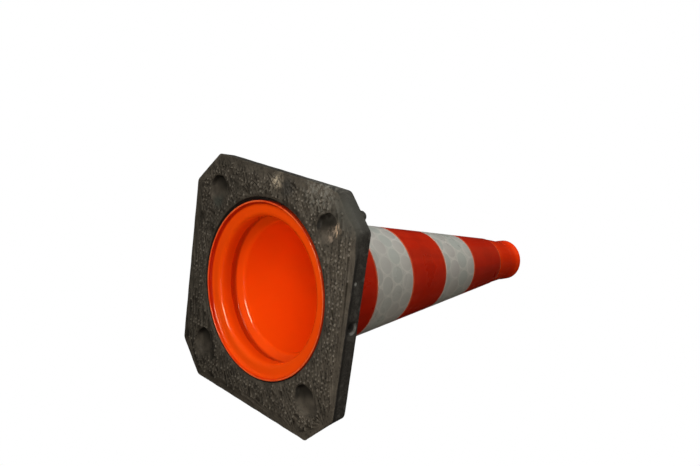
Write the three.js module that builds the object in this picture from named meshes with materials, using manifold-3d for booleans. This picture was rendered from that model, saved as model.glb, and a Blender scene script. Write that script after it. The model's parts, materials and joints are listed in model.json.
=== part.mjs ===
// Two-piece traffic cone, 500 mm tall: a moulded rubber foot, an orange plastic body that is pushed
// up through the foot from below and clips into it, and five retro-reflective films round the body.
// Millimetres, +Z up. The origin is the centre of the foot's underside, on the cone's axis.

import * as THREE from 'three';
import { mergeVertices } from 'three/addons/utils/BufferGeometryUtils.js';
import Module from 'manifold-3d';

const wasm = await Module();
wasm.setup();

// Driving dimensions.
const HEIGHT = 500;
const FOOT_WIDTH = 288;
const FOOT_THICKNESS = 22;
const FOOT_CHAMFER = 39;
const FOOT_EDGE = 2;
const FOOT_DRAFT = 1.8;
const RIM_RADIUS = 106.5;
const NECK_RADIUS = 90;
const CLIP_RADIUS = 94.6;
const WALL = 3;
const CONE_RADIUS_AT_GROUND = 90.9;
const CONE_TAPER = 0.126;
const FILM_START = 39.5;
const RED_FILM_WIDTH = 81.5;
const WHITE_FILM_WIDTH = 77;
const FILM_THICKNESS = 0.5;
const FILM_NAMES = ['lower_red_band', 'lower_white_band', 'middle_red_band', 'upper_white_band', 'upper_red_band'];

// Clearances between neighbouring pieces.
const GAP = 0.3;
const RIM_CLEARANCE = 2;
const NECK_CLEARANCE = 0.9;
const FILM_JOINT = 0.4;

// Facets round a full circle and along a rounded corner.
const ROUND_SEGMENTS = 64;
const SMALL_ROUND_SEGMENTS = 24;
const CORNER_STEPS = 2;

// Films carry the cone's outside; the plastic body lies one film and one gap below it.
const filmRadius = (z) => CONE_RADIUS_AT_GROUND - CONE_TAPER * z;
const bodyRadius = (z) => filmRadius(z) - FILM_THICKNESS - GAP;

const materials = {
  rubber: new THREE.MeshStandardMaterial({ color: 0x2c2a27, roughness: 0.85, metalness: 0 }),
  orange: new THREE.MeshStandardMaterial({ color: 0xe63c05, roughness: 0.35, metalness: 0 }),
  redFilm: new THREE.MeshStandardMaterial({ color: 0xb0190a, roughness: 0.3, metalness: 0 }),
  whiteFilm: new THREE.MeshStandardMaterial({ color: 0xb9bab2, roughness: 0.35, metalness: 0 }),
};

// A closed outline whose corners are rounded. Each corner is [radius from the axis, height, rounding].
function roundedOutline(corners) {
  const points = [];
  corners.forEach(([r, z, rounding = 0], i) => {
    const corner = new THREE.Vector2(r, z);
    if (rounding === 0) {
      points.push(corner);
      return;
    }
    const before = new THREE.Vector2(...corners[(i + corners.length - 1) % corners.length]);
    const after = new THREE.Vector2(...corners[(i + 1) % corners.length]);
    const start = before.sub(corner).setLength(rounding).add(corner);
    const end = after.sub(corner).setLength(rounding).add(corner);
    points.push(...new THREE.QuadraticBezierCurve(start, corner, end).getPoints(CORNER_STEPS));
  });
  return points;
}

// A solid of revolution about +Z from a closed outline, counter-clockwise in radius and height.
function turned(corners, segments = ROUND_SEGMENTS) {
  const outline = roundedOutline(corners);
  outline.push(outline[0].clone());
  const geometry = new THREE.LatheGeometry(outline, segments);
  geometry.rotateX(Math.PI / 2);
  return geometry;
}

// A solid round plug about +Z, used as a cutter or a lug: radii and heights of its ends.
function plug(bottomRadius, topRadius, bottom, top, segments = SMALL_ROUND_SEGMENTS) {
  const geometry = new THREE.CylinderGeometry(topRadius, bottomRadius, top - bottom, segments);
  geometry.rotateX(Math.PI / 2);
  geometry.translate(0, 0, (top + bottom) / 2);
  return geometry;
}

function toSolid(geometry) {
  const bare = geometry.clone();
  bare.deleteAttribute('normal');
  bare.deleteAttribute('uv');
  const merged = mergeVertices(bare, 1e-4);
  return new wasm.Manifold(new wasm.Mesh({
    numProp: 3,
    vertProperties: new Float32Array(merged.attributes.position.array),
    triVerts: new Uint32Array(merged.index.array),
  }));
}

function toGeometry(solid) {
  const mesh = solid.getMesh();
  const geometry = new THREE.BufferGeometry();
  geometry.setAttribute('position', new THREE.BufferAttribute(mesh.vertProperties, 3));
  geometry.setIndex(new THREE.BufferAttribute(mesh.triVerts, 1));
  geometry.computeVertexNormals();
  return geometry;
}

// The four corners of the square foot, as signs of x and y.
const FOOT_CORNERS = [[1, 1], [-1, 1], [-1, -1], [1, -1]];

// A square with cut corners, extruded, with all its long edges eased. Above the lower edge its
// sides lean inwards by the draft.
function footBlock() {
  const half = FOOT_WIDTH / 2 - FOOT_EDGE;
  const cut = FOOT_CHAMFER - FOOT_EDGE * (2 - Math.SQRT2);
  const shape = new THREE.Shape([
    new THREE.Vector2(half, -half + cut), new THREE.Vector2(half, half - cut),
    new THREE.Vector2(half - cut, half), new THREE.Vector2(-half + cut, half),
    new THREE.Vector2(-half, half - cut), new THREE.Vector2(-half, -half + cut),
    new THREE.Vector2(-half + cut, -half), new THREE.Vector2(half - cut, -half),
  ]);
  const geometry = new THREE.ExtrudeGeometry(shape, {
    depth: FOOT_THICKNESS - 2 * FOOT_EDGE,
    bevelSize: FOOT_EDGE,
    bevelThickness: FOOT_EDGE,
    bevelSegments: 2,
  });
  geometry.translate(0, 0, FOOT_EDGE);
  const position = geometry.attributes.position;
  for (let i = 0; i < position.count; i += 1) {
    const climb = Math.max(0, position.getZ(i) - FOOT_EDGE) / (FOOT_THICKNESS - FOOT_EDGE);
    const scale = 1 - (FOOT_DRAFT * climb) / (FOOT_WIDTH / 2);
    position.setXY(i, position.getX(i) * scale, position.getY(i) * scale);
  }
  return geometry;
}

// Heights and radii where the body's rim sits in the foot.
const FLANGE_THICKNESS = 8.5;
const RECESS_DEPTH = FLANGE_THICKNESS + GAP;
const HOLE_RADIUS = NECK_RADIUS + NECK_CLEARANCE;

// The foot: recessed from below for the body's rim, with four finger pockets underneath, four
// stacking lugs on top and a round dimple in the middle of each side.
function basePlate() {
  const pocketPlace = 98.6;
  const pocketDepth = 9;
  const pocketMouthRadius = 16.3;
  const pocketFloorRadius = 14.3;
  const lugPlace = 116;
  const lugHeight = 10;
  const lugFootRadius = 7.4;
  const lugTopRadius = 6;
  const lugRoot = 3;
  const dimpleHeight = 11;
  const dimpleRadius = 7;
  const dimpleDepth = 4;
  const past = 1;

  let foot = toSolid(footBlock());
  foot = foot.subtract(toSolid(
    plug(RIM_RADIUS + RIM_CLEARANCE, RIM_RADIUS + RIM_CLEARANCE, -past, RECESS_DEPTH, ROUND_SEGMENTS)));
  foot = foot.subtract(toSolid(plug(HOLE_RADIUS, HOLE_RADIUS, -past, FOOT_THICKNESS + past, ROUND_SEGMENTS)));
  for (const [sx, sy] of FOOT_CORNERS) {
    const pocket = plug(pocketMouthRadius, pocketFloorRadius, 0, pocketDepth);
    const mouth = plug(pocketMouthRadius, pocketMouthRadius, -past, 0);
    for (const cutter of [pocket, mouth]) {
      cutter.translate(sx * pocketPlace, sy * pocketPlace, 0);
      foot = foot.subtract(toSolid(cutter));
    }
    const lug = plug(lugFootRadius, lugTopRadius, FOOT_THICKNESS - lugRoot, FOOT_THICKNESS + lugHeight);
    lug.translate(sx * lugPlace, sy * lugPlace, 0);
    foot = foot.add(toSolid(lug));
  }
  for (let side = 0; side < 4; side += 1) {
    const dimple = plug(dimpleRadius, dimpleRadius, FOOT_WIDTH / 2 - dimpleDepth, FOOT_WIDTH / 2 + past);
    dimple.rotateY(Math.PI / 2);
    dimple.translate(0, 0, dimpleHeight);
    dimple.rotateZ(side * Math.PI / 2);
    foot = foot.subtract(toSolid(dimple));
  }
  return toGeometry(foot);
}

// The hollow body, one moulding: a flat rim and flange in the foot's recess, a neck through the
// foot's hole, a clip bead that bulges out just above the foot, the tapered wall, and a thicker
// collar with an open hole at the tip.
function coneBody() {
  const rimWidth = 3.5;
  const rimSlope = 1;
  const neckTop = FOOT_THICKNESS + 1.2;
  const clipLow = 27.5;
  const clipHigh = 32;
  const wallStart = 38.5;
  const grooveRadius = 89.8;
  const grooveLow = 26.5;
  const grooveHigh = 30.5;
  const shoulderRadius = 81.5;
  const waistHeight = 477;
  const waistRadius = 29.5;
  const collarLow = 482;
  const collarHigh = 495.5;
  const collarRadius = 30;
  const tipRadius = 28.9;
  const tipHoleRadius = 19;
  const tipThickness = 3.5;
  return turned([
    [RIM_RADIUS, 0, 1.2],
    [RIM_RADIUS, FLANGE_THICKNESS, 1.2],
    [NECK_RADIUS, FLANGE_THICKNESS],
    [NECK_RADIUS, neckTop],
    [CLIP_RADIUS, clipLow, 2],
    [CLIP_RADIUS, clipHigh, 2],
    [bodyRadius(wallStart), wallStart, 1.5],
    [waistRadius, waistHeight],
    [collarRadius, collarLow],
    [collarRadius, collarHigh],
    [tipRadius, HEIGHT, 2.5],
    [tipHoleRadius, HEIGHT],
    [tipHoleRadius, HEIGHT - tipThickness],
    [collarRadius - WALL, collarHigh - tipThickness / 2],
    [collarRadius - WALL, collarLow],
    [waistRadius - WALL, waistHeight],
    [shoulderRadius, wallStart, 3],
    [grooveRadius, grooveHigh],
    [grooveRadius, grooveLow],
    [NECK_RADIUS - WALL, neckTop],
    [NECK_RADIUS - WALL, FLANGE_THICKNESS - WALL, 4.5],
    [RIM_RADIUS - rimWidth - rimSlope, FLANGE_THICKNESS - WALL, 2.5],
    [RIM_RADIUS - rimWidth, 0],
  ]);
}

const filmWidth = (name) => (name.includes('red') ? RED_FILM_WIDTH : WHITE_FILM_WIDTH);

// One film: a thin tapered sleeve round the body, above the films that come before it.
function filmBand(index) {
  const start = FILM_NAMES.slice(0, index).reduce((height, name) => height + filmWidth(name), FILM_START);
  const bottom = start + FILM_JOINT / 2;
  const top = start + filmWidth(FILM_NAMES[index]) - FILM_JOINT / 2;
  return turned([
    [filmRadius(bottom), bottom],
    [filmRadius(top), top],
    [filmRadius(top) - FILM_THICKNESS, top],
    [filmRadius(bottom) - FILM_THICKNESS, bottom],
  ]);
}

function piece(name, geometry, material) {
  const mesh = new THREE.Mesh(geometry, material);
  mesh.name = name;
  return mesh;
}

const foot = new THREE.Group();
foot.add(piece('base_plate', basePlate(), materials.rubber));

const cone = new THREE.Group();
cone.add(piece('cone_body', coneBody(), materials.orange));
FILM_NAMES.forEach((name, index) => {
  cone.add(piece(name, filmBand(index), name.includes('red') ? materials.redFilm : materials.whiteFilm));
});

const trafficCone = new THREE.Group();
trafficCone.add(foot, cone);

export default trafficCone;
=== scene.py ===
"""Looks of a two-piece traffic cone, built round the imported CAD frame. Metres, +Z up."""

import json
import math
import random

import bpy
import numpy as np
from mathutils import Matrix, Vector

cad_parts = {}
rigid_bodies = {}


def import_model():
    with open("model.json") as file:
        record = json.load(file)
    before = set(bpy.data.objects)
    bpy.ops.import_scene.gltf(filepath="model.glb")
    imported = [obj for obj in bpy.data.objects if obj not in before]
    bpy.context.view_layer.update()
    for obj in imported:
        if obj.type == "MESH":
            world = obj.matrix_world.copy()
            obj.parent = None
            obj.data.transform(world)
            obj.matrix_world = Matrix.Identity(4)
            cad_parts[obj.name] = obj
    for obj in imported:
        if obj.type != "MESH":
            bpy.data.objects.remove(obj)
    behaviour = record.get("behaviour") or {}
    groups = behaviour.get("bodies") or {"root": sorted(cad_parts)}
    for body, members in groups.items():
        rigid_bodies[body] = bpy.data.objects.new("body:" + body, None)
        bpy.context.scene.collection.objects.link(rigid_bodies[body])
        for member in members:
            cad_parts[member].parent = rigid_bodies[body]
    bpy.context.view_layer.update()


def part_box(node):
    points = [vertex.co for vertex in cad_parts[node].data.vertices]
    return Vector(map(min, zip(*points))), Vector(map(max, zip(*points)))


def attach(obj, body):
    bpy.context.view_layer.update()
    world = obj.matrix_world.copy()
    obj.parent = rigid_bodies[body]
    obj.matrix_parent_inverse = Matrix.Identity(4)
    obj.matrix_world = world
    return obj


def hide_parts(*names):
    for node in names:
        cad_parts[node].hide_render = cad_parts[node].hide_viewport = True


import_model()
MM = 0.001
SCENE = bpy.context.scene

# ---------------------------------------------------------------- sizes
# The outer sizes come from the frame; the rest repeats the CAD's own dimensions.
FOOT_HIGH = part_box("base_plate")[1]
BODY_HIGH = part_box("cone_body")[1]
HALF_WIDTH = FOOT_HIGH.x
HEIGHT = BODY_HIGH.z
RIM_RADIUS = BODY_HIGH.x
THICKNESS = 22 * MM
CHAMFER = 39 * MM
DRAFT = 1.8 * MM
FLANGE_THICKNESS = 8.5 * MM
NECK_RADIUS = 90 * MM
CLIP_RADIUS = 94.6 * MM
WALL = 3 * MM
TAPER = 0.126
GROUND_RADIUS = 90.9 * MM
FILM_THICKNESS = 0.5 * MM
FILM_GAP = 0.3 * MM
RED_FILMS = ["lower_red_band", "middle_red_band", "upper_red_band"]
WHITE_FILMS = ["lower_white_band", "upper_white_band"]


def film_radius(z):
    """Outside radius of the films at a height."""
    return GROUND_RADIUS - TAPER * z


def body_radius(z):
    """Outside radius of the plastic body's tapered wall at a height."""
    return film_radius(z) - FILM_THICKNESS - FILM_GAP


# ---------------------------------------------------------------- mesh helpers
EASE_STEPS = 6


def new_object(name, vertices, faces):
    """A smooth-shaded mesh object at the origin."""
    mesh = bpy.data.meshes.new(name)
    mesh.from_pydata([tuple(v) for v in vertices], [], [tuple(f) for f in faces])
    mesh.polygons.foreach_set("use_smooth", [True] * len(mesh.polygons))
    mesh.update()
    obj = bpy.data.objects.new(name, mesh)
    SCENE.collection.objects.link(obj)
    return obj


def circle(radius, z, count, phase=0.0):
    """Points round a circle about +Z; phase turns it by a part of one step."""
    angles = [2 * math.pi * (i + phase) / count for i in range(count)]
    return [(radius * math.cos(angle), radius * math.sin(angle), z) for angle in angles]


def eased_corner(before, corner, after, ease, steps):
    """Points of a smooth curve that cuts a corner, from the side it comes from to the one it goes to."""
    start = corner + (before - corner).normalized() * ease
    end = corner + (after - corner).normalized() * ease
    points = []
    for k in range(steps + 1):
        t = k / steps
        points.append(start * (1 - t) ** 2 + corner * 2 * t * (1 - t) + end * t ** 2)
    return points


def eased_outline(corners):
    """A closed outline from corners (radius, height, easing); an easing of 0 keeps a corner sharp."""
    points = []
    for i, (radius, z, ease) in enumerate(corners):
        corner = Vector((radius, z))
        if ease == 0:
            points.append(corner)
            continue
        before = Vector(corners[i - 1][:2])
        after = Vector(corners[(i + 1) % len(corners)][:2])
        points += eased_corner(before, corner, after, ease, EASE_STEPS)
    return points


def ring_faces(rings, count, closed=True):
    """Quads between rings of count points each; closed joins the last ring to the first."""
    faces = []
    for k in range(rings if closed else rings - 1):
        low, high = k * count, ((k + 1) % rings) * count
        for i in range(count):
            j = (i + 1) % count
            faces.append((low + i, low + j, high + j, high + i))
    return faces


def closed_faces(rings, count):
    """Quads between rings of count points each, with a flat face over the first and the last ring."""
    last = (rings - 1) * count
    faces = ring_faces(rings, count, closed=False)
    faces.append(tuple(reversed(range(count))))
    faces.append(tuple(range(last, last + count)))
    return faces


def turned(name, corners, segments):
    """A solid of revolution from a closed outline that stays off the axis."""
    outline = eased_outline(corners)
    vertices = [vertex for point in outline for vertex in circle(point.x, point.y, segments)]
    return new_object(name, vertices, ring_faces(len(outline), segments))


def plug(name, profile, segments):
    """A solid round plug about +Z: profile is (radius, height) from its bottom to its top."""
    vertices = [vertex for radius, z in profile for vertex in circle(radius, z, segments)]
    return new_object(name, vertices, closed_faces(len(profile), segments))


def combine(target, tool, operation):
    """Joins or cuts target with tool, and removes the tool."""
    modifier = target.modifiers.new("combine", "BOOLEAN")
    modifier.operation = operation
    modifier.solver = "MANIFOLD"
    modifier.object = tool
    settled = bpy.data.meshes.new_from_object(target.evaluated_get(bpy.context.evaluated_depsgraph_get()))
    target.modifiers.clear()
    target.data = settled
    bpy.data.objects.remove(tool)


def place(obj, matrix):
    """Moves an object's vertices, so that the object itself stays at the origin."""
    obj.data.transform(matrix)
    obj.data.update()
    return obj


# ---------------------------------------------------------------- material helpers
class Nodes:
    """A material's node tree, with short calls for the nodes that the materials here share."""

    def __init__(self, name):
        self.material = bpy.data.materials.new(name)
        self.material.use_nodes = True
        self.tree = self.material.node_tree
        self.tree.nodes.clear()
        self.output = self.add("ShaderNodeOutputMaterial")
        self.shader = self.add("ShaderNodeBsdfPrincipled")
        self.link(self.shader.outputs[0], self.output.inputs[0])
        self.place = self.add("ShaderNodeTexCoord").outputs["Object"]

    def add(self, kind):
        return self.tree.nodes.new(kind)

    def link(self, source, target):
        self.tree.links.new(source, target)

    def feed(self, value, socket):
        """Links another node's output to a socket, or sets the socket to a plain value."""
        if isinstance(value, bpy.types.NodeSocket):
            self.link(value, socket)
        else:
            socket.default_value = value

    def math(self, operation, a, b=0.0):
        node = self.add("ShaderNodeMath")
        node.operation = operation
        self.feed(a, node.inputs[0])
        self.feed(b, node.inputs[1])
        return node.outputs[0]

    def plus(self, a, b):
        return self.math("ADD", a, b)

    def minus(self, a, b):
        return self.math("SUBTRACT", a, b)

    def absolute(self, a):
        return self.math("ABSOLUTE", a)

    def larger(self, a, b):
        return self.math("MAXIMUM", a, b)

    def product(self, first, *others):
        """All the values multiplied together."""
        for other in others:
            first = self.math("MULTIPLY", first, other)
        return first

    def distance(self, a, b):
        """The length of a line whose two sides are a and b."""
        return self.math("SQRT", self.plus(self.math("POWER", a, 2.0), self.math("POWER", b, 2.0)))

    def noise(self, scale, detail=4.0, roughness=0.55, stretch=(1, 1, 1), offset=(0, 0, 0)):
        """Noise from 0 to 1 in the object's own metres; stretch scales its three axes."""
        mapping = self.add("ShaderNodeMapping")
        mapping.inputs["Scale"].default_value = stretch
        mapping.inputs["Location"].default_value = offset
        self.link(self.place, mapping.inputs["Vector"])
        node = self.add("ShaderNodeTexNoise")
        node.inputs["Scale"].default_value = scale
        node.inputs["Detail"].default_value = detail
        node.inputs["Roughness"].default_value = roughness
        self.link(mapping.outputs[0], node.inputs["Vector"])
        return node.outputs["Fac"]

    def ramp(self, value, low, high, start=0.0, end=1.0):
        """Maps low..high smoothly to start..end."""
        node = self.add("ShaderNodeMapRange")
        node.interpolation_type = "SMOOTHSTEP"
        self.feed(value, node.inputs["Value"])
        node.inputs["From Min"].default_value = low
        node.inputs["From Max"].default_value = high
        node.inputs["To Min"].default_value = start
        node.inputs["To Max"].default_value = end
        return node.outputs["Result"]

    def drop(self, value, low, high):
        """1 up to low, falling smoothly to 0 at high."""
        return self.ramp(value, low, high, 1.0, 0.0)

    def band(self, value, rise_start, rise_end, fall_start, fall_end):
        """1 within a range and 0 outside it, with a soft start and end."""
        return self.product(self.ramp(value, rise_start, rise_end), self.drop(value, fall_start, fall_end))

    def mix(self, factor, a, b):
        """Colour a where the factor is 0 and colour b where it is 1."""
        node = self.add("ShaderNodeMix")
        node.data_type = "RGBA"
        self.feed(factor, node.inputs["Factor"])
        for value, socket in ((a, node.inputs["A"]), (b, node.inputs["B"])):
            self.feed(value if isinstance(value, bpy.types.NodeSocket) else (*value, 1.0), socket)
        return node.outputs["Result"]

    def scale(self, colour, factor):
        """A colour multiplied by a number."""
        node = self.add("ShaderNodeVectorMath")
        node.operation = "SCALE"
        self.feed(colour, node.inputs[0])
        self.feed(factor, node.inputs["Scale"])
        return node.outputs[0]

    def split(self):
        """The place's x, y and z."""
        node = self.add("ShaderNodeSeparateXYZ")
        self.link(self.place, node.inputs[0])
        return node.outputs

    def near(self, point, radius):
        """1 close to a point, falling to 0 at a radius from it, in metres."""
        node = self.add("ShaderNodeVectorMath")
        node.operation = "DISTANCE"
        self.link(self.place, node.inputs[0])
        node.inputs[1].default_value = point
        return self.drop(node.outputs["Value"], radius * 0.2, radius)

    def attribute(self, name):
        """A number that the mesh holds for each of its points."""
        node = self.add("ShaderNodeAttribute")
        node.attribute_name = name
        return node.outputs["Fac"]

    def bump(self, height, strength, distance):
        node = self.add("ShaderNodeBump")
        node.inputs["Strength"].default_value = strength
        node.inputs["Distance"].default_value = distance
        self.feed(height, node.inputs["Height"])
        self.link(node.outputs[0], self.shader.inputs["Normal"])

    def finish(self, colour, roughness, **fixed):
        """Sets the shader's colour, roughness and other inputs, and gives the material."""
        self.feed(colour, self.shader.inputs["Base Color"])
        self.feed(roughness, self.shader.inputs["Roughness"])
        for name, value in fixed.items():
            self.shader.inputs[name.replace("_", " ")].default_value = value
        return self.material


# ---------------------------------------------------------------- materials
# Places on the foot where it is worn, scuffed or smooth, and where a highlight and a shade are painted on
# its -X side.
SCUFF_TOP = (-6 * MM, 131 * MM, 0)
SCUFF_POCKET = (-107 * MM, 101 * MM, 2 * MM)
WORN_CORNER = (-124 * MM, 124 * MM, 4 * MM)
SMOOTH_PATCH = (-24 * MM, 128 * MM, 0)
DAMP_PATCH = (101 * MM, 86 * MM, 1 * MM)
WORN_EDGE = (-78 * MM, 142 * MM, 3 * MM)
POCKET_FLOOR = (-99 * MM, 92 * MM, 7 * MM)
DIMPLE_SHADE = (-140 * MM, 2 * MM, 10 * MM)
SIDE_GLINT_SPOT = (-143 * MM, 50 * MM, 6.5 * MM)
# How far a pocket's CAD centre lies from the axis in x and in y, and how high the dimples' centres are.
POCKET_PLACE = 98.6 * MM
DIMPLE_HEIGHT = 11 * MM
NUB_HEIGHT = 0.6 * MM
NUB_PITCH = 5.7 * MM
# Streaky scuffs and a painted highlight, then smooth patches and a painted shade: place, radius, strength
# and colour.
SCUFFS = (
    (SCUFF_TOP, 15 * MM, 0.9, (0.36, 0.3, 0.215)),
    (SCUFF_POCKET, 12 * MM, 1.4, (0.48, 0.34, 0.22)),
    (POCKET_FLOOR, 12 * MM, 1.1, (0.2, 0.155, 0.115)),
    (WORN_CORNER, 40 * MM, 0.25, (0.09, 0.087, 0.075)),
    (WORN_EDGE, 42 * MM, 0.9, (0.14, 0.133, 0.112)),
    # A painted highlight: a small pale spot on the -X side.
    (SIDE_GLINT_SPOT, 3 * MM, 2.0, (0.26, 0.26, 0.24)),
)
SMOOTH_PATCHES = (
    (SMOOTH_PATCH, 17 * MM, 0.85, (0.034, 0.031, 0.027)),
    (DAMP_PATCH, 14 * MM, 0.85, (0.034, 0.037, 0.03)),
    (WORN_CORNER, 38 * MM, 0.75, (0.048, 0.0475, 0.04)),
    # A painted shade: the hollow of the -X dimple painted dark.
    (DIMPLE_SHADE, 8 * MM, 0.9, (0.006, 0.006, 0.0055)),
)


def bare_rubber(n, z, crumb):
    """Black crumb with paler flecks, and a painted shade just above the foot's lower edge."""
    granule = n.noise(130, detail=2, roughness=0.4, offset=(7, 2, 4))
    colour = n.mix(n.ramp(crumb, 0.35, 0.7), (0.022, 0.0205, 0.018), (0.047, 0.0435, 0.038))
    flecks = n.product(n.ramp(granule, 0.56, 0.66), n.ramp(z, 16 * MM, 21 * MM, 0.3, 0.8))
    colour = n.mix(flecks, colour, (0.095, 0.09, 0.08))
    # A painted shade: a dark band on the sides just above the foot's lower edge.
    lower_edge_shade = n.product(n.band(z, 0.9 * MM, 1.6 * MM, 3 * MM, 7 * MM), 0.7)
    return n.mix(lower_edge_shade, colour, (0.008, 0.0074, 0.0066))


def painted_nub_shadows(n, x, y, z, blotch):
    """Where the painted nub shadows lie: dark dots in the nubs' own grid, half a pitch from the nubs, with a
    slow sway.
    """
    turns = 2 * math.pi / NUB_PITCH
    sway = n.product(n.noise(16, detail=1, offset=(4, 4, 1)), 1.6)
    across = n.math("COSINE", n.plus(n.product(x, turns), sway))
    along = n.math("COSINE", n.minus(n.product(y, turns), sway))
    nub_shadow = n.drop(n.minus(across, along), -1.85, -1.1)
    on_underside = n.drop(z, 0.9 * MM, 1.2 * MM)
    off_border = n.drop(n.larger(n.absolute(x), n.absolute(y)), 133 * MM, 136 * MM)
    return n.product(nub_shadow, on_underside, n.ramp(blotch, 0.4, 0.6, 1.0, 0.1), off_border)


def inside_pockets(n, x, y, z):
    """1 within the four pockets under the foot."""
    across, along = (n.absolute(n.minus(n.absolute(v), POCKET_PLACE)) for v in (x, y))
    return n.product(n.drop(n.larger(across, along), 18 * MM, 20 * MM), n.drop(z, 9.2 * MM, 9.6 * MM))


def dust_with_painted_light_and_shade(n, place, in_pocket, cloud, blotch, grit):
    """The underside's brown-grey dust, with painted nub shadows, darker deeper in, a painted shade over the
    pockets' +Y halves and painted light on their lower floors.
    """
    x, y, z = place
    dust = n.mix(n.ramp(cloud, 0.34, 0.68), (0.041, 0.0345, 0.0265), (0.065, 0.0545, 0.0415))
    dust = n.mix(n.ramp(blotch, 0.42, 0.72, 0.0, 0.6), dust, (0.097, 0.082, 0.0625))
    dust = n.mix(n.ramp(grit, 0.34, 0.5, 0.55, 0.0), dust, (0.012, 0.01, 0.008))
    # Painted shadows of the nubs, as dark dots.
    dust = n.mix(painted_nub_shadows(n, x, y, z, blotch), dust, (0.008, 0.007, 0.0058))
    # Darker by up to a quarter from 1.2 mm to 5 mm up, inside the hollows.
    dust = n.scale(dust, n.ramp(z, 1.2 * MM, 5 * MM, 1.0, 0.75))
    # A painted shadow over each pocket's +Y half, and painted light, blotchy like the dust, on its lower
    # floor.
    hollow = n.product(in_pocket, n.ramp(z, 1.2 * MM, 2.4 * MM))
    rise = n.minus(y, n.product(n.math("SIGN", y), POCKET_PLACE))
    slant = n.product(n.minus(n.absolute(x), POCKET_PLACE), 0.3)
    upper = n.ramp(n.minus(rise, slant), -7 * MM, 9 * MM)
    dust = n.mix(n.product(hollow, upper, 0.85), dust, (0.006, 0.005, 0.0042))
    lower = n.product(n.minus(1.0, upper), n.ramp(blotch, 0.35, 0.6, 0.1, 0.35))
    return n.mix(n.product(hollow, lower), dust, (0.1, 0.083, 0.064))


def dimple_lip_highlight(n, x, y, z):
    """A painted highlight on the crescent along the upper edge of the dimple in the -X side."""
    from_dimple = n.distance(y, n.minus(z, DIMPLE_HEIGHT))
    crescent = n.band(from_dimple, 4.6 * MM, 5.8 * MM, 7.2 * MM, 8.4 * MM)
    above = n.ramp(n.minus(z, n.product(y, 0.5)), 11 * MM, 15 * MM)
    return n.product(crescent, above, n.drop(x, -140 * MM, -135 * MM))


def rubber_material():
    """Pressed recycled rubber: black crumb, brown-grey dust, paler on worn nubs, edges and scuffs, with
    painted light and shade on the underside and painted highlights on the -X side.
    """
    n = Nodes("recycled_rubber")
    x, y, z = n.split()
    crumb = n.noise(520, detail=3)
    grit = n.noise(230, detail=4, roughness=0.7, offset=(1, 5, 2))
    cloud = n.noise(14, detail=6, roughness=0.62)
    blotch = n.noise(70, detail=5, roughness=0.65, offset=(3, 1, 2))
    in_pocket = inside_pockets(n, x, y, z)
    under = n.larger(n.drop(z, 0.9 * MM, 1.9 * MM), in_pocket)
    dust = dust_with_painted_light_and_shade(n, (x, y, z), in_pocket, cloud, blotch, grit)
    base = n.mix(under, bare_rubber(n, z, crumb), dust)
    worn_nub = n.product(n.drop(z, 0.1 * MM, 0.4 * MM), n.ramp(blotch, 0.38, 0.6, 0.12, 0.75))
    base = n.mix(worn_nub, base, (0.17, 0.149, 0.12))
    streak = n.ramp(n.noise(120, detail=6, roughness=0.75, stretch=(1.6, 1, 1)), 0.44, 0.6)
    for point, radius, strength, colour in SCUFFS:
        base = n.mix(n.product(n.near(point, radius), streak, strength), base, colour)
    for point, radius, strength, colour in SMOOTH_PATCHES:
        base = n.mix(n.product(n.near(point, radius), strength), base, colour)
    # A painted highlight along the dimple's upper edge, broken up by the grit.
    lip_highlight = n.product(dimple_lip_highlight(n, x, y, z), n.ramp(grit, 0.35, 0.55, 0.45, 1.0))
    base = n.mix(lip_highlight, base, (0.12, 0.12, 0.112))
    # A painted falloff of light over the underside: brighter towards +Y and towards -X.
    side = 145 * MM
    shade = n.product(n.ramp(y, -side, side, 0.95, 1.1), n.ramp(x, -side, side, 1.08, 0.76))
    base = n.mix(under, base, n.scale(base, shade))
    n.bump(n.plus(n.product(crumb, 0.3), n.product(grit, 0.7)), 0.45, 0.6 * MM)
    return n.finish(base, n.ramp(cloud, 0.2, 0.8, 0.92, 0.66), Specular_IOR_Level=0.3)


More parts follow.
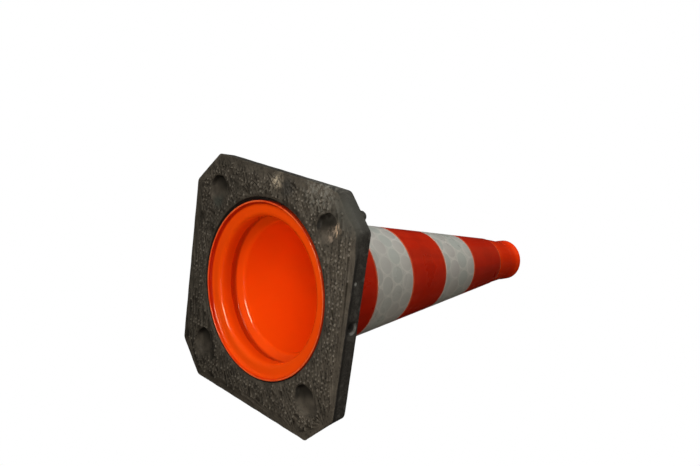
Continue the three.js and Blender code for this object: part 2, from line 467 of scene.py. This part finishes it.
def orange_material():
    """Glossy moulded plastic: clean orange inside, painted brighter deeper in, redder and dirtier on the
    rim's face and the bare tip, with painted light at the tip's end, painted shade on the rim, neck and
    groove, and a painted highlight on the rim's face.
    """
    n = Nodes("orange_plastic")
    x, y, z = n.split()
    cloud = n.noise(7, detail=2)
    fine = n.noise(160, detail=3)
    dirt = n.noise(55, detail=6, roughness=0.7, stretch=(1, 1, 0.5), offset=(2, 4, 1))
    tone = n.ramp(cloud, 0.3, 0.7)
    shallow = n.mix(tone, (0.83, 0.061, 0.0015), (0.87, 0.072, 0.002))
    # Painted light: the same orange painted brighter deeper inside the body.
    painted_light_deep = n.mix(tone, (0.97, 0.07, 0.0015), (1.0, 0.08, 0.002))
    clean = n.mix(n.ramp(z, 30 * MM, 46 * MM), shallow, painted_light_deep)
    face = n.mix(n.ramp(dirt, 0.3, 0.7), (0.62, 0.02, 0.001), (0.72, 0.032, 0.002))
    # Painted light: the bare tip painted brighter towards its end.
    tip = n.mix(n.ramp(z, 482 * MM, 492 * MM), (0.6, 0.02, 0.0006), (0.86, 0.038, 0.0008))
    used = n.mix(n.ramp(z, 300 * MM, 440 * MM), face, tip)
    outside = n.larger(n.ramp(z, 420 * MM, 450 * MM), n.drop(z, 0.4 * MM, 2.6 * MM))
    grime = n.product(n.ramp(dirt, 0.56, 0.78, 0.0, 0.5), n.ramp(outside, 0.0, 1.0, 0.04, 1.0))
    # Painted shade on the rim's inner corner, strongest towards +X and +Y.
    rim_corner_shade = n.band(z, 0.5 * MM, 1.4 * MM, 4.2 * MM, 5.4 * MM)
    shaded_side = n.ramp(n.plus(n.product(x, 0.85), n.product(y, 0.5)), -5 * MM, 55 * MM, 0.12, 0.95)
    # Painted shade down the neck.
    neck = n.band(z, 9 * MM, 20 * MM, 33 * MM, 34 * MM)
    # Painted shade on the rim's outer edge.
    rim_edge_shade = n.ramp(n.distance(x, y), RIM_RADIUS - 1.1 * MM, RIM_RADIUS - 0.3 * MM)
    # Painted shade in the groove inside the clip bead.
    groove_shade = n.band(z, 24 * MM, 29 * MM, 32.6 * MM, 34.2 * MM)
    # A thin pale line on the rim's face: scraping with a painted highlight.
    scraped_and_highlit = n.product(n.drop(z, 0.1 * MM, 0.4 * MM), n.ramp(dirt, 0.35, 0.6, 0.3, 0.8))
    colour = n.mix(outside, clean, used)
    for amount, paint in (
        (grime, (0.33, 0.028, 0.008)),
        (n.product(rim_corner_shade, shaded_side), (0.4, 0.009, 0.0008)),
        (n.product(neck, 0.3), (0.55, 0.02, 0.001)),
        (n.product(rim_edge_shade, 0.75), (0.24, 0.018, 0.005)),
        (n.product(groove_shade, 0.6), (0.3, 0.012, 0.0008)),
        (scraped_and_highlit, (0.8, 0.14, 0.035)),
    ):
        colour = n.mix(amount, colour, paint)
    n.bump(n.plus(n.product(fine, 0.2), cloud), 0.08, 0.5 * MM)
    return n.finish(colour, n.ramp(dirt, 0.3, 0.75, 0.1, 0.2), Coat_Weight=0.15, Coat_Roughness=0.06)


def film_material(name, ground, wall, edge, tints, streaks):
    """Retro-reflective film: cells sealed by paler walls, a pale edge line that is partly a painted
    highlight, rain streaks and dirt.
    """
    n = Nodes(name)
    cloud = n.noise(16, detail=4)
    fade = n.noise(30, detail=3, offset=(5, 2, 7))
    run = n.noise(60, detail=4, roughness=0.6, stretch=(1, 1, 0.07), offset=(1, 8, 3))
    dirt = n.noise(50, detail=6, roughness=0.72, stretch=(1, 1, 0.3))
    walls, tone, hue, border = (n.attribute(a) for a in ("cell_wall", "cell_tone", "cell_hue", "film_edge"))
    light, dark, dirty, washed = ([c * share for c in ground] for share in (1.05, 0.9, 0.5, 0.6))
    colour = n.mix(n.ramp(tone, 0.0, 1.0, 0.0, 0.9), light, dark)
    for amount, paint in (
        (n.product(hue, 0.6), tints[0]),
        (n.product(n.ramp(cloud, 0.45, 0.7), 0.4), tints[1]),
        (n.product(walls, n.ramp(fade, 0.35, 0.62, 0.45, 1.0)), wall),
        # The pale edge line: partly a painted highlight along the film's rounded edge.
        (n.product(border, n.ramp(fade, 0.3, 0.6, 0.5, 1.0)), edge),
        (n.ramp(dirt, 0.58, 0.82, 0.0, 0.28), dirty),
        (n.ramp(run, 0.4, 0.7, 0.0, streaks), washed),
    ):
        colour = n.mix(amount, colour, paint)
    n.bump(walls, 0.15, 0.2 * MM)
    gloss = {"Specular_IOR_Level": 0.25, "Coat_Weight": 0.08, "Coat_Roughness": 0.06}
    return n.finish(colour, n.ramp(cloud, 0.3, 0.8, 0.26, 0.38), **gloss)


RUBBER = rubber_material()
ORANGE = orange_material()
WHITE_FILM = film_material(
    "white_film", (0.352, 0.34, 0.312), (0.47, 0.45, 0.405), (0.44, 0.325, 0.285),
    ((0.298, 0.332, 0.3), (0.345, 0.319, 0.294)), 0.12,
)
RED_FILM = film_material(
    "red_film", (0.38, 0.0095, 0.0004), (0.48, 0.018, 0.0012), (0.62, 0.14, 0.055),
    ((0.34, 0.008, 0.0004), (0.45, 0.018, 0.001)), 0.35,
)


def dress(obj, body, material, node):
    """Gives a finished piece its material and body, and hides the CAD node it stands for."""
    obj.data.materials.clear()
    obj.data.materials.append(material)
    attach(obj, body)
    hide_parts(node)
    return obj


# ---------------------------------------------------------------- the foot
SIDE_STEPS = 60
CORNER_EASE = 3.4 * MM
CORNER_STEPS = 5
TOP_EASE = 2.2 * MM
TOP_RINGS = 5
BOTTOM_EASE = 1.1 * MM
BOTTOM_RINGS = 8
SCUFFED_SIDE_EASE = 1.3 * MM
WORN_EASE = 9 * MM
WEAR_REACH = 58 * MM
UNEVEN = 0.5 * MM
SLUMPED_CORNER = (-108 * MM, -142 * MM)
SLUMP = 3.5 * MM
SLUMP_REACH = 55 * MM
# A nub's dome from its root in the foot down to the ground, as (radius, height) in millimetres.
NUB_LEVELS = ((1.95, 1.2), (1.9, 0.5), (1.6, 0.14), (1.05, 0.0))
NUB_SIDES = 8
NUB_MARGIN = 8 * MM
NUB_CLEARANCE = 3 * MM
# How far a nub strays from its grid in millimetres, and the share of them that is worn off everywhere.
NUB_JITTER = 1.1
BARE_SHARE = 0.2
POCKET_RADIUS = 16.3 * MM
# A pocket's wall from its mouth to its floor, as (share of its radius, height in millimetres).
POCKET_PROFILE = (
    (1.08, -1.0), (1.05, 0.1), (0.99, 0.8), (0.95, 2.0), (0.92, 5.2), (0.86, 7.6), (0.74, 8.7), (0.5, 9.0),
)
# A lug's radius and its height over the foot's top, and a dimple's radius and its place past the side.
LUG_PROFILE = ((8.4, -2), (8.4, 0), (7.3, 0.9), (6.2, 7.2), (5.0, 9.1), (3.2, 9.7))
DIMPLE_PROFILE = ((4.8, -4.6), (6.2, -4), (6.9, -2.8), (7.3, -1.6), (8, -0.6), (9.4, 2))
LUG_PLACE = 116 * MM
RECESS_RADIUS = RIM_RADIUS + 2.6 * MM
RECESS_SHIFT = (1.05 * MM, 1.1 * MM)
RECESS_DEPTH = FLANGE_THICKNESS + FILM_GAP
HOLE_RADIUS = NECK_RADIUS + 0.9 * MM
# How far each corner of the moulded foot strays from the ideal square, in millimetres of x and y.
CORNER_WANDER = (
    (-0.6, -2.0), (2.4, -1.5), (1.0, 0.0), (0.5, -0.4), (1.4, 0.5), (1.0, -1.0), (0.0, -0.8), (0.0, -0.8),
)


def foot_outline(inset):
    """Points round the cut-corner square, set in from its sides."""
    half = HALF_WIDTH - inset
    cut = CHAMFER - inset * (2 - math.sqrt(2))
    ideal = [
        (half, -half + cut), (half, half - cut), (half - cut, half), (-half + cut, half),
        (-half, half - cut), (-half, -half + cut), (-half + cut, -half), (half - cut, -half),
    ]
    corners = [Vector((x + dx * MM, y + dy * MM)) for (x, y), (dx, dy) in zip(ideal, CORNER_WANDER)]
    points = []
    for i, here in enumerate(corners):
        after = corners[(i + 1) % len(corners)]
        points += eased_corner(corners[i - 1], here, after, CORNER_EASE, CORNER_STEPS)
        start = points[-1]
        stop = after + (here - after).normalized() * CORNER_EASE
        points += [start.lerp(stop, k / SIDE_STEPS) for k in range(1, SIDE_STEPS)]
    return points


def wear_at(point):
    """How worn the foot's lower edge is at a place: 1 at the worn corner, 0 away from it."""
    distance = (Vector(point[:2]) - Vector(WORN_CORNER[:2])).length
    return max(0.0, 1 - distance / WEAR_REACH) ** 0.8


def slump_at(point):
    """How far the foot's side leans inwards at a place, besides its draft: most at the slumped corner."""
    distance = (point - Vector(SLUMPED_CORNER)).length
    return SLUMP * max(0.0, 1 - distance / SLUMP_REACH)


def uneven_at(point, phase):
    """A small smooth unevenness, 0 to 1, that differs from place to place."""
    x, y = point[0] / MM, point[1] / MM
    waves = math.sin(x / 5.3 + y / 7.1 + phase) + math.sin(x / 12.7 - y / 9.1 + 2 * phase)
    waves += math.sin(x / 2.9 - y / 3.7 + 3 * phase) * 0.7
    return 0.5 + waves / 5.4


def foot_block():
    """The foot without its hollows: eased and slightly uneven edges, one corner worn round."""
    outer = foot_outline(0)
    inset = 10 * MM
    inward = [(b - a) / inset for a, b in zip(outer, foot_outline(inset))]
    count = len(outer)
    rings = []

    def ring(inset_at, height_at):
        rings.append([
            (*(outer[i] + inward[i] * inset_at(i)), height_at(i)) for i in range(count)
        ])

    scuffed_side = 5 * MM - HALF_WIDTH
    rough = [UNEVEN * uneven_at(p, 0.4) for p in outer]
    scuffed = [SCUFFED_SIDE_EASE * (p.x < scuffed_side) for p in outer]
    bottom = [
        (BOTTOM_EASE + extra) * (0.7 + 0.6 * uneven_at(p, 1.9)) + WORN_EASE * wear_at(p)
        for p, extra in zip(outer, scuffed)
    ]
    rise = [min(b, 0.6 * THICKNESS) for b in bottom]
    lean = [DRAFT + slump_at(p) for p in outer]
    for k in range(BOTTOM_RINGS):
        angle = math.radians(90 * k / (BOTTOM_RINGS - 1))
        ring(
            lambda i, a=angle: rough[i] + bottom[i] * (1 - math.sin(a)),
            lambda i, a=angle: NUB_HEIGHT + (rise[i] - NUB_HEIGHT) * (1 - math.cos(a)),
        )
    for k in range(TOP_RINGS):
        angle = math.radians(90 * k / (TOP_RINGS - 1))
        ring(
            lambda i, a=angle: lean[i] + 0.6 * rough[i] + TOP_EASE * (1 - math.cos(a)),
            lambda i, a=angle: THICKNESS - TOP_EASE * (1 - math.sin(a)),
        )
    vertices = [vertex for one_ring in rings for vertex in one_ring]
    return new_object("foot", vertices, closed_faces(len(rings), count))


def nub_field():
    """Small worn nubs in a square grid over the foot's underside, as one object of closed domes."""
    rng = random.Random(7)
    dome_faces = [tuple(reversed(face)) for face in closed_faces(len(NUB_LEVELS), NUB_SIDES)]
    vertices, faces = [], []
    reach = int(HALF_WIDTH / NUB_PITCH)
    for row in range(-reach, reach + 1):
        for column in range(-reach, reach + 1):
            x = column * NUB_PITCH + rng.uniform(-NUB_JITTER, NUB_JITTER) * MM
            y = row * NUB_PITCH + rng.uniform(-NUB_JITTER, NUB_JITTER) * MM
            size = rng.uniform(0.62, 1.0)
            reaches_ground = row * column % 7 == 0
            sunk = rng.uniform(0, 0.3) * (not reaches_ground)
            luck = rng.random()
            if not nub_fits(x, y) or luck < BARE_SHARE + (1 - BARE_SHARE) * wear_at((x, y)) ** 1.5:
                continue
            first = len(vertices)
            for radius, z in NUB_LEVELS:
                level = circle(size * radius * MM, (z + sunk) * MM, NUB_SIDES, phase=0.5)
                vertices += [(x + dx, y + dy, height) for dx, dy, height in level]
            faces += [tuple(first + v for v in face) for face in dome_faces]
    return new_object("nubs", vertices, faces)


def nub_fits(x, y):
    """True where a nub lies on the underside, clear of its edge, the recess and the pockets."""
    border = HALF_WIDTH - NUB_MARGIN
    cut = (2 * HALF_WIDTH - CHAMFER) / math.sqrt(2) - NUB_MARGIN
    if max(abs(x), abs(y)) > border or (abs(x) + abs(y)) / math.sqrt(2) > cut:
        return False
    if math.hypot(x - RECESS_SHIFT[0], y - RECESS_SHIFT[1]) < RECESS_RADIUS + NUB_CLEARANCE:
        return False
    pocket = math.hypot(abs(x) - POCKET_PLACE, abs(y) - POCKET_PLACE)
    return pocket > POCKET_RADIUS + NUB_CLEARANCE


# Each pocket: the signs of its corner, its centre in millimetres, the direction in degrees and length in
# millimetres of its tail, and the share by which its floor rises.
POCKETS = (
    (1, 1, (101.4, 102.0), 300, 0.5, 0.2),
    (-1, 1, (-94.2, 100.0), 250, 1.6, 0.4),
    (1, -1, (100.0, -96.5), 285, 2.6, 0.3),
    (-1, -1, (-94.0, -97.5), 222, 5.5, 0.4),
)


def scoop(centre, tail_direction, tail, floor_rise):
    """The plug that cuts one pocket: an uneven round hollow whose floor rises away from +Y."""
    segments = 64
    vertices = []
    towards = math.radians(tail_direction)
    for part, depth in POCKET_PROFILE:
        for i in range(segments):
            angle = 2 * math.pi * i / segments
            uneven = 0.035 * math.sin(3 * angle + tail) + 0.02 * math.sin(7 * angle + 2 * tail)
            reach = POCKET_RADIUS * (1 + uneven) + tail * MM * max(0.0, math.cos(angle - towards)) ** 3
            x, y = part * reach * math.cos(angle), part * reach * math.sin(angle)
            lower = max(0.0, min(1.0, 0.55 - 0.75 * y / POCKET_RADIUS - 0.3 * x / POCKET_RADIUS))
            z = depth * MM * (1 - floor_rise * lower if depth > 1 else 1)
            vertices.append((centre[0] * MM + x, centre[1] * MM + y, z))
    return new_object("scoop", vertices, closed_faces(len(POCKET_PROFILE), segments))


def foot():
    """The finished foot: block, nubs and lugs joined, then recess, hole, pockets and dimples cut."""
    block = foot_block()
    combine(block, nub_field(), "UNION")
    mouth_radius = RECESS_RADIUS + 0.7 * MM
    recess = plug("recess", [
        (mouth_radius, -1 * MM), (mouth_radius, 0), (RECESS_RADIUS + 0.2 * MM, 0.9 * MM),
        (RECESS_RADIUS, 1.8 * MM), (RECESS_RADIUS, RECESS_DEPTH),
    ], 192)
    combine(block, place(recess, Matrix.Translation((*RECESS_SHIFT, 0))), "DIFFERENCE")
    bevel = 1 * MM
    hole = plug("hole", [
        (HOLE_RADIUS, 0), (HOLE_RADIUS, THICKNESS - bevel), (HOLE_RADIUS + bevel, THICKNESS),
        (HOLE_RADIUS + bevel, THICKNESS + 2 * MM),
    ], 160)
    combine(block, hole, "DIFFERENCE")
    for sx, sy, centre, tail_direction, tail, floor_rise in POCKETS:
        combine(block, scoop(centre, tail_direction, tail, floor_rise), "DIFFERENCE")
        lug = plug("lug", [(radius * MM, THICKNESS + z * MM) for radius, z in LUG_PROFILE], 40)
        place(lug, Matrix.Translation((sx * LUG_PLACE, sy * LUG_PLACE, 0)))
        combine(block, lug, "UNION")
    for side in range(4):
        dimple = plug("dimple", [(radius * MM, HALF_WIDTH + out * MM) for radius, out in DIMPLE_PROFILE], 36)
        turn = Matrix.Rotation(side * math.pi / 2, 4, "Z") @ Matrix.Translation((0, 0, DIMPLE_HEIGHT))
        place(dimple, turn @ Matrix.Rotation(math.pi / 2, 4, "Y"))
        combine(block, dimple, "DIFFERENCE")
    return dress(block, "base", RUBBER, "base_plate")


# ---------------------------------------------------------------- the body
# The tip sags towards -Y, from its start up to the end of its length.
TIP_SAG = 1.8 * MM
TIP_SAG_START = 440 * MM
TIP_SAG_MIDDLE = 460 * MM
TIP_SAG_LENGTH = 45 * MM


def cone_shell():
    """The hollow orange body with its rim, flange, neck, clip bead, wall, collar and open tip.

    The worn tip is a little wider than the CAD's clean one, and the inner corners are eased more.
    """
    neck_top = THICKNESS + 1.2 * MM
    clip_low, clip_high, wall_start = 27.5 * MM, 32 * MM, 38.5 * MM
    flange_low = FLANGE_THICKNESS - WALL
    groove_radius, groove_low, groove_high = 91.2 * MM, 26 * MM, 32.8 * MM
    shoulder_radius = 80 * MM
    waist, waist_radius = 477 * MM, 29.9 * MM
    collar_low, collar_high, collar_radius = 483 * MM, 495.5 * MM, 30.5 * MM
    tip_radius, hole_radius, tip_wall = 30.4 * MM, 19 * MM, 3.5 * MM
    rim_inner = RIM_RADIUS - 2.6 * MM
    neck_inner = 87 * MM
    shell = turned("cone_shell", [
        (RIM_RADIUS, 0, 1.3 * MM),
        (RIM_RADIUS, FLANGE_THICKNESS, 1.5 * MM),
        (NECK_RADIUS, FLANGE_THICKNESS, 0.8 * MM),
        (NECK_RADIUS, neck_top, 1 * MM),
        (CLIP_RADIUS, clip_low, 2 * MM),
        (CLIP_RADIUS, clip_high, 2.2 * MM),
        (body_radius(wall_start), wall_start, 1.5 * MM),
        (body_radius(TIP_SAG_START), TIP_SAG_START, 0),
        (body_radius(TIP_SAG_MIDDLE), TIP_SAG_MIDDLE, 0),
        (waist_radius, waist, 2.5 * MM),
        (collar_radius, collar_low, 2.5 * MM),
        (collar_radius, collar_high, 2 * MM),
        (tip_radius, HEIGHT, 1.6 * MM),
        (hole_radius, HEIGHT, 0.8 * MM),
        (hole_radius, HEIGHT - tip_wall, 0.8 * MM),
        (collar_radius - WALL, collar_high - 2 * MM, 1.5 * MM),
        (collar_radius - WALL, collar_low, 1.5 * MM),
        (waist_radius - WALL, waist, 1.5 * MM),
        (body_radius(TIP_SAG_MIDDLE) - WALL, TIP_SAG_MIDDLE, 0),
        (body_radius(TIP_SAG_START) - WALL, TIP_SAG_START, 0),
        (shoulder_radius, wall_start, 4.2 * MM),
        (groove_radius, groove_high, 0.6 * MM),
        (groove_radius, groove_low, 1.4 * MM),
        (neck_inner, neck_top, 2 * MM),
        (neck_inner, flange_low, 7.2 * MM),
        (rim_inner - 0.4 * MM, flange_low, 4.2 * MM),
        (rim_inner, 0, 1.25 * MM),
    ], 256)
    for vertex in shell.data.vertices:
        part = max(0.0, min(1.0, (vertex.co.z - TIP_SAG_START) / TIP_SAG_LENGTH))
        vertex.co.y -= TIP_SAG * part * part * (3 - 2 * part)
    return dress(shell, "cone", ORANGE, "cone_body")


# ---------------------------------------------------------------- the films
# The honeycomb: its rough pitch, the width of its walls, the round cells' radius as a share of the pitch,
# and how much the straight walls between two cells are set back.
CELL_PITCH = 25 * MM
CELL_WALL = 1.25 * MM
CELL_RADIUS = 0.47
STRAIGHT_SETBACK = 0.35 * MM
SEAM_DIRECTION = math.radians(-24)
SEAM_LAP = 9 * MM
SEAM_RISE = 0.3 * MM
FILM_STEP = 1.1 * MM
EMBOSS = 0.09 * MM
# The width of a film's pale edge line, and the width and depth of its rounding.
EDGE_LINE = 2.6 * MM
EDGE_ROUND = 0.9 * MM
EDGE_DROP = 0.22 * MM


def honeycomb(around, along, cells_round, circumference):
    """Cell walls, tone inside the cells and hue per cell (0 to 1), for places on an unrolled film.

    Each place takes the nearest of the cells around it. Sines of a cell's numbers move its centre a little.
    """
    pitch = circumference / cells_round
    row = pitch * math.sqrt(3) / 2
    best = np.full(around.shape, 1e9)
    second = best.copy()
    rise = np.zeros(around.shape)
    hue = np.zeros(around.shape)
    first_row = np.floor(along / row)
    for dr in (-1, 0, 1, 2):
        r = first_row + dr
        shift = np.mod(r, 2) * 0.5
        column = np.round(around / pitch - shift)
        for dc in (-1, 0, 1):
            turn_index = np.mod(column + dc, cells_round)
            wander = np.sin(turn_index * 12.99 + r * 78.2)
            cx = (column + dc + shift + 0.05 * wander) * pitch
            cy = (r + 0.06 * np.sin(turn_index * 39.3 + r * 11.1)) * row
            distance = np.hypot(around - cx, along - cy)
            closer = distance < best
            second = np.where(closer, best, np.minimum(second, distance))
            rise = np.where(closer, along - cy, rise)
            hue = np.where(closer, wander, hue)
            best = np.where(closer, distance, best)
    round_wall = np.abs(best - pitch * CELL_RADIUS)
    straight_wall = (second - best) / 2 + STRAIGHT_SETBACK
    depth = np.clip(1 - np.minimum(round_wall, straight_wall) / CELL_WALL, 0, 1)
    walls = depth * depth * (3 - 2 * depth)
    tone = np.clip(0.5 + rise / pitch, 0, 1)
    return walls, tone, 0.5 + 0.5 * hue


def film(name, material, strength):
    """A sleeve of film with a lap seam, embossed cells and a rounded edge whose paleness is partly a painted
    highlight.
    """
    low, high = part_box(name)
    bottom, top = low.z, high.z
    middle_radius = film_radius((bottom + top) / 2)
    circumference = 2 * math.pi * middle_radius
    columns = int(circumference / FILM_STEP)
    rows = int((top - bottom) / FILM_STEP)
    angles = SEAM_DIRECTION + 2 * math.pi * np.arange(columns) / columns
    lap = np.clip(1 - (2 * math.pi - (angles - SEAM_DIRECTION)) * middle_radius / SEAM_LAP, 0, 1)
    rise = SEAM_RISE * np.minimum(1, lap * 4)
    heights = bottom + (top - bottom) * np.arange(rows + 1) / rows
    cells_round = 2 * round(circumference / CELL_PITCH / 2)
    grid_angle, grid_height = np.meshgrid(angles, heights)
    around = grid_angle * middle_radius
    walls, tone, hue = honeycomb(around, grid_height - bottom, cells_round, circumference)
    edge = np.minimum(grid_height - bottom, top - grid_height)
    border = np.clip(1 - edge / EDGE_LINE, 0, 1) ** 0.7
    walls = np.maximum(walls, border * 0.4)
    round_off = EDGE_DROP * np.clip(1 - edge / EDGE_ROUND, 0, 1) ** 2
    radius = film_radius(grid_height) - EMBOSS + EMBOSS * walls * strength + rise[None, :] - round_off
    outer = np.stack([radius * np.cos(grid_angle), radius * np.sin(grid_angle), grid_height], -1)
    vertices = outer.reshape(-1, 3).tolist()
    for z in (top, bottom):
        inner = film_radius(z) - FILM_THICKNESS
        vertices += [(inner * math.cos(angle), inner * math.sin(angle), z) for angle in angles]
    outer_rings, inner_rings = rows + 1, 2
    sleeve = new_object(name + "_film", vertices, ring_faces(outer_rings + inner_rings, columns))
    blank = np.zeros(inner_rings * columns)
    for attribute, values in (
        ("cell_wall", walls * strength),
        ("cell_tone", tone * strength),
        ("cell_hue", hue),
        ("film_edge", border),
    ):
        layer = sleeve.data.attributes.new(attribute, "FLOAT", "POINT")
        layer.data.foreach_set("value", np.concatenate([values.ravel(), blank]).astype(np.float32))
    return dress(sleeve, "cone", material, name)


foot()
cone_shell()
for film_name in RED_FILMS:
    film(film_name, RED_FILM, 0.35)
for film_name in WHITE_FILMS:
    film(film_name, WHITE_FILM, 1.0)


# ---------------------------------------------------------------- floor, light and camera
FLOOR_HALF_SIZE = 30.0
FLOOR_HEIGHT = -0.25 * MM
FLOOR_GLOW = 0.5


def floor():
    """A plain pale floor: the lamps don't light it, so it glows a little, and from below it is clear."""
    square = ((-1, -1), (1, -1), (1, 1), (-1, 1))
    vertices = [(x * FLOOR_HALF_SIZE, y * FLOOR_HALF_SIZE, FLOOR_HEIGHT) for x, y in square]
    plane = new_object("floor", vertices, [(0, 1, 2, 3)])
    n = Nodes("pale_floor")
    shade = n.mix(n.noise(1.5, detail=3), (0.62, 0.62, 0.61), (0.68, 0.68, 0.67))
    n.finish(shade, 0.75, Emission_Color=(1, 1, 0.99, 1), Emission_Strength=FLOOR_GLOW)
    clear = n.add("ShaderNodeBsdfTransparent")
    switch = n.add("ShaderNodeMixShader")
    n.link(n.add("ShaderNodeNewGeometry").outputs["Backfacing"], switch.inputs[0])
    n.link(n.shader.outputs[0], switch.inputs[1])
    n.link(clear.outputs[0], switch.inputs[2])
    n.link(switch.outputs[0], n.output.inputs[0])
    plane.data.materials.append(n.material)
    plane.visible_shadow = False
    plane.visible_diffuse = False
    plane.visible_glossy = False


LIGHT_TARGET = Vector((0, 0, 0.12))
CONE_ONLY = bpy.data.collections.new("cone_only")
NEUTRAL = (1.0, 1.0, 1.0)
# Each lamp and panel: name, direction from the cone, distance, width, height, power and tint.
LAMPS = (
    ("key", (-0.15, 0.55, -0.82), 1.0, 0.45, 0.45, 4.0, NEUTRAL),
    ("fill", (-0.7, 0.1, -0.7), 1.1, 0.4, 0.4, 4.7, (1.0, 0.94, 0.87)),
    ("side", (-0.05, 0.99, 0.1), 1.4, 1.1, 1.1, 15, NEUTRAL),
    ("overhead", (0.1, -0.2, 0.97), 1.9, 1.5, 1.5, 14.5, (1.0, 0.92, 0.8)),
)
PANELS = (
    ("back_panel", (-0.17, 0.36, 0.92), 1.6, 0.6, 0.35, 0.1, (1.0, 0.75, 0.35)),
    ("glint", (-0.246, 0.442, -0.863), 1.4, 0.62, 0.08, 11, (1.0, 0.88, 0.62)),
    ("right_panel", (-0.95, -0.3, -0.1), 1.5, 0.8, 0.5, 0.4, NEUTRAL),
)
# The sky's colour towards -Y and towards +Y, as light and as seen in reflections, and where it changes.
LIGHT_SKY = ((0.03, 0.015, 0.007, 1), (0.42, 0.42, 0.4, 1))
MIRRORED_SKY = ((0.004, 0.003, 0.002, 1), (0.03, 0.025, 0.016, 1))
SKY_FADE = (-0.8, 0.9)


def soft_light(name, direction, distance, width, height, power, tint, diffuse, glossy):
    """A rectangular soft light in a direction from the cone, pointing at it and lighting it only."""
    data = bpy.data.lights.new(name, "AREA")
    data.shape = "RECTANGLE"
    data.size, data.size_y = width, height
    data.energy = power
    data.color = tint
    light = bpy.data.objects.new(name, data)
    SCENE.collection.objects.link(light)
    towards = Vector(direction).normalized()
    light.location = LIGHT_TARGET + towards * distance
    light.rotation_mode = "QUATERNION"
    light.rotation_quaternion = (-towards).to_track_quat("-Z", "Y")
    light.visible_diffuse = diffuse
    light.visible_glossy = glossy
    light.light_linking.receiver_collection = CONE_ONLY


def lights():
    """Soft lamps that reflections leave out, and panels that only reflections show."""
    for lamp in LAMPS:
        soft_light(*lamp, diffuse=True, glossy=False)
    for panel in PANELS:
        soft_light(*panel, diffuse=False, glossy=True)


def surround():
    """The world: white to the camera, and a dim sky, brighter towards +Y, to light and reflections."""
    world = bpy.data.worlds.new("studio")
    SCENE.world = world
    world.use_nodes = True
    tree = world.node_tree
    tree.nodes.clear()
    add, link = tree.nodes.new, tree.links.new

    def background(colour):
        node = add("ShaderNodeBackground")
        if isinstance(colour, tuple):
            node.inputs[0].default_value = colour
        else:
            link(colour, node.inputs[0])
        return node.outputs[0]

    def choose(ray, other, chosen):
        node = add("ShaderNodeMixShader")
        link(path.outputs[ray], node.inputs[0])
        link(other, node.inputs[1])
        link(chosen, node.inputs[2])
        return node.outputs[0]

    split = add("ShaderNodeSeparateXYZ")
    link(add("ShaderNodeTexCoord").outputs["Generated"], split.inputs[0])
    level = add("ShaderNodeMapRange")
    level.interpolation_type = "SMOOTHSTEP"
    level.inputs["From Min"].default_value, level.inputs["From Max"].default_value = SKY_FADE
    link(split.outputs["Y"], level.inputs["Value"])
    skies = []
    for low, high in (LIGHT_SKY, MIRRORED_SKY):
        sky = add("ShaderNodeMix")
        sky.data_type = "RGBA"
        sky.inputs["A"].default_value = low
        sky.inputs["B"].default_value = high
        link(level.outputs["Result"], sky.inputs["Factor"])
        skies.append(background(sky.outputs["Result"]))
    path = add("ShaderNodeLightPath")
    dim = choose("Is Glossy Ray", *skies)
    seen = choose("Is Camera Ray", dim, background((1, 1, 1, 1)))
    link(seen, add("ShaderNodeOutputWorld").inputs[0])


CAMERA_PLACE = Vector((-0.7034, 0.2823, -0.6025))
CAMERA_FORWARD = Vector((0.674, -0.2108, 0.708))
CAMERA_UP = Vector((0.2455, 0.9679, 0.0544))
LENS = 42.2


def camera():
    """The camera looks into the cone from below, as if the cone lay on its side."""
    data = bpy.data.cameras.new("camera")
    data.lens = LENS
    data.sensor_width = 36
    obj = bpy.data.objects.new("camera", data)
    SCENE.collection.objects.link(obj)
    forward = CAMERA_FORWARD.normalized()
    right = forward.cross(CAMERA_UP).normalized()
    up = right.cross(forward)
    rotation = Matrix((right, up, -forward)).transposed().to_4x4()
    obj.matrix_world = Matrix.Translation(CAMERA_PLACE) @ rotation
    SCENE.camera = obj


for piece in SCENE.objects:
    CONE_ONLY.objects.link(piece)
floor()
surround()
lights()
camera()
SCENE.view_settings.view_transform = "Standard"
